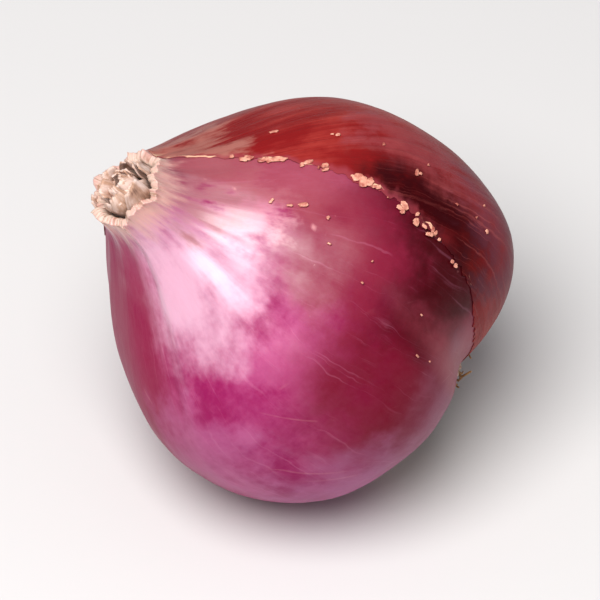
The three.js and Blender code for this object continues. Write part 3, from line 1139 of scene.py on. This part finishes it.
def growRootlets():
    graph, size = startTree("rootletsTree", rootletForm)
    line = graph.add("GeometryNodeCurvePrimitiveLine", {}, {"Start": (0, -0.5, 0), "End": (0, 0.5, 0)})
    line = graph.add("GeometryNodeResampleCurve", {}, {"Curve": line, "Count": size["steps"]})
    ranges = {
        "share": (0.0, 1.0),
        "long": (size["shortest"], size["longest"]),
        "thick": (size["thinnest"], size["thickest"]),
        "fan": (0.3, 1.0),
        "own": (0.0, 90.0),
    }
    strands, own = scatter(graph, line, size["strands"], size["seed"], ranges)
    _, v = gridPlace(graph)
    angle = fullTurn * size["turnsRound"] * own["order"]
    swayOut = graph.noise(graph.vector(own["own"], v * size["kinks"], 1), detail=1.0) - 0.5
    swaySide = graph.noise(graph.vector(own["own"], v * size["kinks"], 5), detail=1.0) - 0.5
    splay = size["splay"] * own["fan"] * own["share"] * v**1.5 * own["long"]
    out = size["startReach"] * own["share"] ** 0.6 + splay + swayOut * size["kink"] * v
    side = swaySide * 2 * size["kink"] * v
    height = size["startHeight"] - own["long"] * graph.sine(v * size["curve"]) * size["sink"]
    place = bulbToWorld(
        graph,
        out * graph.cosine(angle) - side * graph.sine(angle),
        out * graph.sine(angle) + side * graph.cosine(angle),
        height,
    )
    placed = moveTo(graph, strands, place)
    ring = graph.add("GeometryNodeCurvePrimitiveCircle", {}, {"Resolution": size["sides"], "Radius": 1.0})
    factor = graph.add("GeometryNodeSplineParameter", {}, {})
    thick = own["thick"] * mm * (1 - size["taper"] * factor)
    tubes = graph.add(
        "GeometryNodeCurveToMesh",
        {},
        {"Curve": placed, "Profile Curve": ring, "Scale": thick, "Fill Caps": True},
    )
    return runTree("rootlets", graph, rootletForm, tubes, makeRootMaterial("dryRootlet", rootLook))


placePiece(growRootlets(), "dry_root")


# Papery shards of old scales round the plate.
scrapForm = {
    "scraps": 15,
    "across": 8,
    "rows": 12,
    "seed": 21,
    "innerReach": 3.3,
    "outerReach": 4.6,
    "shortest": 1.0,
    "tallest": 2.3,
    "narrowest": 0.7,
    "widest": 1.9,
    "start": -13.5,
    "ragged": 1.0,
    "crumple": 0.7,
    "tornAcross": 4.0,
    "turnsRound": 4.0,
}


def growRootScraps():
    graph, size, grid, x, v = startGrid("rootScrapsTree", scrapForm, "across")
    ranges = {
        "reach": (size["innerReach"], size["outerReach"]),
        "tall": (size["shortest"], size["tallest"]),
        "wide": (size["narrowest"], size["widest"]),
        "lean": (-0.4, 0.6),
        "own": (0.0, 50.0),
    }
    grids, own = scatter(graph, grid, size["scraps"], size["seed"], ranges)
    torn, crumple = paperNoise(graph, x, v, own["own"], size["tornAcross"])
    down = v * own["tall"] + torn * size["ragged"] * v**2
    radius = own["reach"] + own["lean"] * down + crumple * size["crumple"] * (0.3 + v)
    angle = fullTurn * own["order"] * size["turnsRound"] + x * 2 * own["wide"] * (1 - 0.5 * v) / own["reach"]
    placed = moveTo(graph, grids, onRing(graph, radius, angle, size["start"] - down))
    return runTree("rootScraps", graph, scrapForm, placed, makeLeafMaterial("driedScale"), bladeThickness)


placePiece(growRootScraps(), "dry_leaf")


# The stage: floor, lights and camera, with lengths in metres unless noted.
view = {
    "elevation": math.radians(45),
    "distance": 0.6,
    "target": Vector((2.12, 0, 16.14)) * mm,
    "field": 55.8,  # mm across the picture at the bulb
    "sensor": 36,
}
floorLook = {"reach": 3.0, "colour": (0.64, 0.635, 0.63, 1.0), "roughness": 0.7}
room = {"colour": (0.95, 0.96, 1.0, 1.0), "strength": 0.3}
lights = {
    "windowLight": {
        "way": (-0.19, -0.41, 0.89),
        "distance": 0.5,
        "size": 0.38,
        "power": 3.15,
        "colour": (1.0, 0.98, 0.97),
    },
    "sideLight": {
        "way": (0.97, 0.2, 0.16),
        "distance": 0.6,
        "size": 0.5,
        "power": 0.25,
        "colour": (1.0, 0.97, 0.97),
    },
}


def makeFloor():
    mesh = bpy.data.meshes.new("floor")
    reach = floorLook["reach"]
    corners = [(-reach, -reach, 0), (reach, -reach, 0), (reach, reach, 0), (-reach, reach, 0)]
    mesh.from_pydata(corners, [], [(0, 1, 2, 3)])
    floor = addObject("floor", mesh)
    material, graph = startMaterial("paleFloor")
    finishMaterial(graph, {"Base Color": floorLook["colour"], "Roughness": floorLook["roughness"]})
    mesh.materials.append(material)


def addLight(name, way, distance, size, power, colour):
    data = bpy.data.lights.new(name, "AREA")
    data.shape = "DISK"
    data.size = size
    data.energy = power
    data.color = colour
    light = addObject(name, data)
    way = Vector(way).normalized()
    light.location = view["target"] + way * distance
    light.rotation_euler = way.to_track_quat("Z", "Y").to_euler()


def makeWorld():
    world = bpy.data.worlds.new("paleRoom")
    world.use_nodes = True
    world.node_tree.nodes.clear()
    graph = Graph(world.node_tree)
    shell = graph.add("ShaderNodeBackground", {}, {"Color": room["colour"], "Strength": room["strength"]})
    graph.add("ShaderNodeOutputWorld", {}, {"Surface": shell})
    bpy.context.scene.world = world


def makeCamera():
    data = bpy.data.cameras.new("camera")
    data.sensor_width = view["sensor"]
    data.lens = view["sensor"] * view["distance"] / (view["field"] * mm)
    camera = addObject("camera", data)
    back = Vector((0, -math.cos(view["elevation"]), math.sin(view["elevation"])))
    camera.location = view["target"] + back * view["distance"]
    camera.rotation_euler = back.to_track_quat("Z", "Y").to_euler()
    bpy.context.scene.camera = camera


makeFloor()
for name, light in lights.items():
    addLight(name, **light)
makeWorld()
makeCamera()
bpy.context.scene.view_settings.view_transform = "Standard"
bpy.context.scene.view_settings.look = "Medium High Contrast"
print("stage set")
